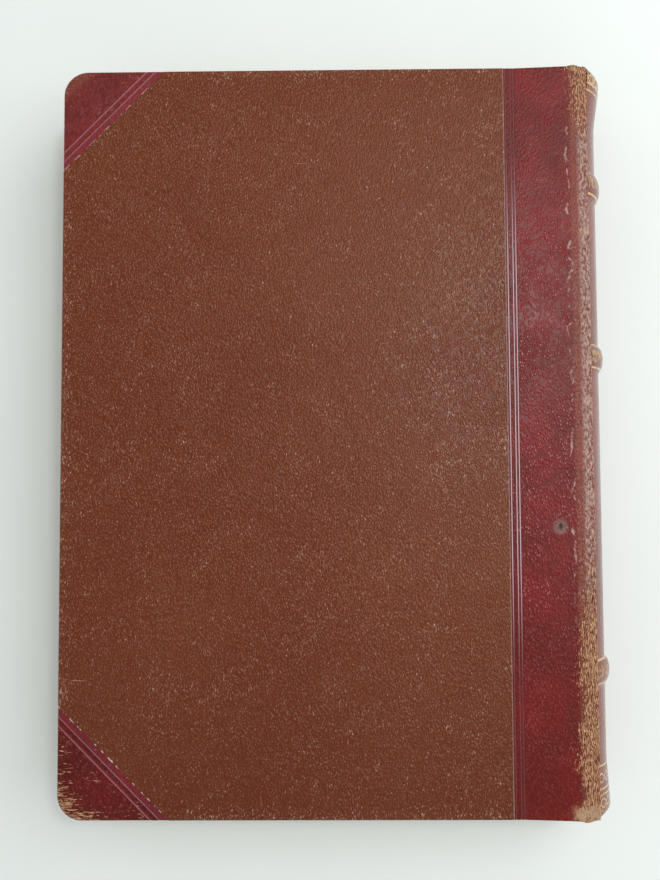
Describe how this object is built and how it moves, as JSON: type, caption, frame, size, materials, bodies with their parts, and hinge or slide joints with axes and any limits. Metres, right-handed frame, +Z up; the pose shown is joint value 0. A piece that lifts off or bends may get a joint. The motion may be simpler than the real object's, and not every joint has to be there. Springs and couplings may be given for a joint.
{
  "type": "stamp album",
  "caption": "Half-leather stock album: two hinged boards, a rounded spine with raised bands, and card leaves with clear pocket strips.",
  "frame": {"origin": "under the middle of the closed album, on the plane that its front board lies on", "axes": "+Z up through the closed album from the front board to the back board, +Y along the spine from tail to head, +X from the fore-edge to the spine"},
  "size_m": [0.2256, 0.305, 0.044],
  "materials": {
    "leather": "grained, worn",
    "side_paper": "pebble grained",
    "millboard": "matte",
    "endpaper": "matte",
    "hinge_cloth": "fine weave",
    "manila_card": "matte",
    "band_card": "matte",
    "lining": "open weave",
    "linen_tape": "woven",
    "thread": "waxed",
    "endband": "wrapped cotton",
    "leaf_card": "matte",
    "clear_film": "clear"
  },
  "bodies": {
    "front_cover": {"front_board": "millboard", "front_side_paper": "side_paper", "front_joint_leather": "leather", "front_head_corner": "leather", "front_tail_corner": "leather", "front_pastedown": "endpaper", "front_hinge_cloth": "hinge_cloth"},
    "back_cover": {"back_board": "millboard", "back_side_paper": "side_paper", "back_joint_leather": "leather", "back_head_corner": "leather", "back_tail_corner": "leather", "back_pastedown": "endpaper", "back_hinge_cloth": "hinge_cloth"},
    "spine": {"spine_leather": "leather", "spine_inlay": "manila_card", "spine_lining": "lining", "sewing_tapes": "linen_tape", "hinge_guards": "manila_card", "binding_stitches": "thread", "head_endband": "endband", "tail_endband": "endband", "raised_band_1": "band_card", "raised_band_2": "band_card", "raised_band_3": "band_card"},
    "front_flyleaf": {"front_flyleaf": "endpaper"},
    "back_flyleaf": {"back_flyleaf": "endpaper"},
    "leaf_01": {"leaf_01_card": "leaf_card", "leaf_01_pockets": "clear_film"},
    "leaf_02": {"leaf_02_card": "leaf_card", "leaf_02_pockets": "clear_film"},
    "leaf_03": {"leaf_03_card": "leaf_card", "leaf_03_pockets": "clear_film"},
    "leaf_04": {"leaf_04_card": "leaf_card", "leaf_04_pockets": "clear_film"},
    "leaf_05": {"leaf_05_card": "leaf_card", "leaf_05_pockets": "clear_film"},
    "leaf_06": {"leaf_06_card": "leaf_card", "leaf_06_pockets": "clear_film"},
    "leaf_07": {"leaf_07_card": "leaf_card", "leaf_07_pockets": "clear_film"},
    "leaf_08": {"leaf_08_card": "leaf_card", "leaf_08_pockets": "clear_film"},
    "leaf_09": {"leaf_09_card": "leaf_card", "leaf_09_pockets": "clear_film"},
    "leaf_10": {"leaf_10_card": "leaf_card", "leaf_10_pockets": "clear_film"},
    "leaf_11": {"leaf_11_card": "leaf_card", "leaf_11_pockets": "clear_film"},
    "leaf_12": {"leaf_12_card": "leaf_card", "leaf_12_pockets": "clear_film"},
    "leaf_13": {"leaf_13_card": "leaf_card", "leaf_13_pockets": "clear_film"},
    "leaf_14": {"leaf_14_card": "leaf_card", "leaf_14_pockets": "clear_film"},
    "leaf_15": {"leaf_15_card": "leaf_card", "leaf_15_pockets": "clear_film"},
    "leaf_16": {"leaf_16_card": "leaf_card", "leaf_16_pockets": "clear_film"}
  },
  "joints": [
    {"name": "front_joint", "type": "hinge", "parent": "front_cover", "child": "spine", "pos_m": [0.10187, 0, 0.0019], "axis": [0, 1, 0], "range_deg": [0, 90]},
    {"name": "back_joint", "type": "hinge", "parent": "spine", "child": "back_cover", "pos_m": [0.10187, 0, 0.0421], "axis": [0, 1, 0], "range_deg": [0, 90]},
    {"name": "back_flyleaf_hinge", "type": "hinge", "parent": "spine", "child": "back_flyleaf", "pos_m": [0.09837, 0, 0.03985], "axis": [0, 1, 0], "range_deg": [0, 82.8]},
    {"name": "front_flyleaf_hinge", "type": "hinge", "parent": "spine", "child": "front_flyleaf", "pos_m": [0.09837, 0, 0.00415], "axis": [0, 1, 0], "range_deg": [-82.8, 0]},
    {"name": "leaf_01_hinge", "type": "hinge", "parent": "spine", "child": "leaf_01", "pos_m": [0.09187, 0, 0.0385], "axis": [0, 1, 0], "range_deg": [0, 72]},
    {"name": "leaf_02_hinge", "type": "hinge", "parent": "spine", "child": "leaf_02", "pos_m": [0.09187, 0, 0.0363], "axis": [0, 1, 0], "range_deg": [0, 63]},
    {"name": "leaf_03_hinge", "type": "hinge", "parent": "spine", "child": "leaf_03", "pos_m": [0.09187, 0, 0.0341], "axis": [0, 1, 0], "range_deg": [0, 54]},
    {"name": "leaf_04_hinge", "type": "hinge", "parent": "spine", "child": "leaf_04", "pos_m": [0.09187, 0, 0.0319], "axis": [0, 1, 0], "range_deg": [0, 45]},
    {"name": "leaf_05_hinge", "type": "hinge", "parent": "spine", "child": "leaf_05", "pos_m": [0.09187, 0, 0.0297], "axis": [0, 1, 0], "range_deg": [0, 36]},
    {"name": "leaf_06_hinge", "type": "hinge", "parent": "spine", "child": "leaf_06", "pos_m": [0.09187, 0, 0.0275], "axis": [0, 1, 0], "range_deg": [0, 27]},
    {"name": "leaf_07_hinge", "type": "hinge", "parent": "spine", "child": "leaf_07", "pos_m": [0.09187, 0, 0.0253], "axis": [0, 1, 0], "range_deg": [0, 18]},
    {"name": "leaf_08_hinge", "type": "hinge", "parent": "spine", "child": "leaf_08", "pos_m": [0.09187, 0, 0.0231], "axis": [0, 1, 0], "range_deg": [0, 9]},
    {"name": "leaf_09_hinge", "type": "hinge", "parent": "spine", "child": "leaf_09", "pos_m": [0.09187, 0, 0.0209], "axis": [0, 1, 0], "range_deg": [-9, 0]},
    {"name": "leaf_10_hinge", "type": "hinge", "parent": "spine", "child": "leaf_10", "pos_m": [0.09187, 0, 0.0187], "axis": [0, 1, 0], "range_deg": [-18, 0]},
    {"name": "leaf_11_hinge", "type": "hinge", "parent": "spine", "child": "leaf_11", "pos_m": [0.09187, 0, 0.0165], "axis": [0, 1, 0], "range_deg": [-27, 0]},
    {"name": "leaf_12_hinge", "type": "hinge", "parent": "spine", "child": "leaf_12", "pos_m": [0.09187, 0, 0.0143], "axis": [0, 1, 0], "range_deg": [-36, 0]},
    {"name": "leaf_13_hinge", "type": "hinge", "parent": "spine", "child": "leaf_13", "pos_m": [0.09187, 0, 0.0121], "axis": [0, 1, 0], "range_deg": [-45, 0]},
    {"name": "leaf_14_hinge", "type": "hinge", "parent": "spine", "child": "leaf_14", "pos_m": [0.09187, 0, 0.0099], "axis": [0, 1, 0], "range_deg": [-54, 0]},
    {"name": "leaf_15_hinge", "type": "hinge", "parent": "spine", "child": "leaf_15", "pos_m": [0.09187, 0, 0.0077], "axis": [0, 1, 0], "range_deg": [-63, 0]},
    {"name": "leaf_16_hinge", "type": "hinge", "parent": "spine", "child": "leaf_16", "pos_m": [0.09187, 0, 0.0055], "axis": [0, 1, 0], "range_deg": [-72, 0]}
  ],
  "couplings": [
    {"joint": "back_flyleaf_hinge", "follows": "back_joint", "ratio": 0.92},
    {"joint": "front_flyleaf_hinge", "follows": "front_joint", "ratio": -0.92},
    {"joint": "leaf_01_hinge", "follows": "back_joint", "ratio": 0.8},
    {"joint": "leaf_02_hinge", "follows": "back_joint", "ratio": 0.7},
    {"joint": "leaf_03_hinge", "follows": "back_joint", "ratio": 0.6},
    {"joint": "leaf_04_hinge", "follows": "back_joint", "ratio": 0.5},
    {"joint": "leaf_05_hinge", "follows": "back_joint", "ratio": 0.4},
    {"joint": "leaf_06_hinge", "follows": "back_joint", "ratio": 0.3},
    {"joint": "leaf_07_hinge", "follows": "back_joint", "ratio": 0.2},
    {"joint": "leaf_08_hinge", "follows": "back_joint", "ratio": 0.1},
    {"joint": "leaf_09_hinge", "follows": "front_joint", "ratio": -0.1},
    {"joint": "leaf_10_hinge", "follows": "front_joint", "ratio": -0.2},
    {"joint": "leaf_11_hinge", "follows": "front_joint", "ratio": -0.3},
    {"joint": "leaf_12_hinge", "follows": "front_joint", "ratio": -0.4},
    {"joint": "leaf_13_hinge", "follows": "front_joint", "ratio": -0.5},
    {"joint": "leaf_14_hinge", "follows": "front_joint", "ratio": -0.6},
    {"joint": "leaf_15_hinge", "follows": "front_joint", "ratio": -0.7},
    {"joint": "leaf_16_hinge", "follows": "front_joint", "ratio": -0.8}
  ]
}
